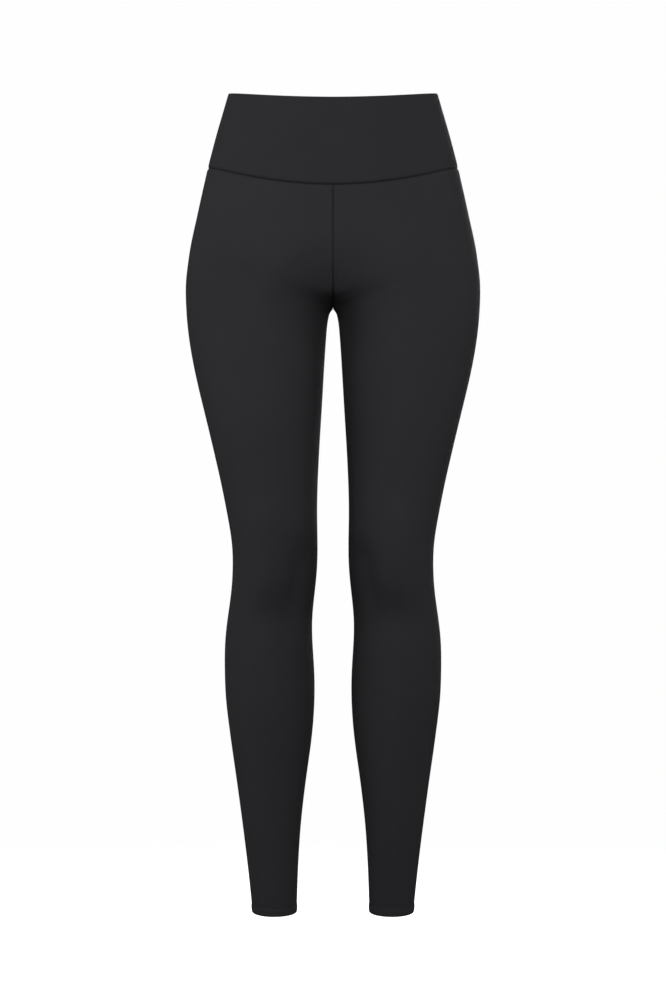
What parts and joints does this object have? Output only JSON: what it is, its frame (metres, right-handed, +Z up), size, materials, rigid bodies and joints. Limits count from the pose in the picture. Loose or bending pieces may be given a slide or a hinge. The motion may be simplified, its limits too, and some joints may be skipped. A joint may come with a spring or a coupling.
{
  "type": "leggings",
  "caption": "Full-length high-rise leggings in black stretch jersey with a wide curved waistband, hollow and filled out as worn, standing straight.",
  "frame": {"origin": "centre of the waist opening, level with the waistband's top edge at the sides, where the wearer's waist holds the leggings up", "axes": "+Z up, -Y the front of the leggings, +X the wearer's left"},
  "size_m": [0.3456, 0.2211, 0.9674],
  "materials": {
    "leg_jersey": "matt black stretch jersey with a soft dry hand and a faint sheen at grazing angles",
    "band_jersey": "the same matt black stretch jersey, doubled and smooth"
  },
  "bodies": {
    "root": {"waistband_front": "band_jersey", "waistband_back": "band_jersey", "leg_left": "leg_jersey", "leg_right": "leg_jersey"}
  },
  "joints": []
}
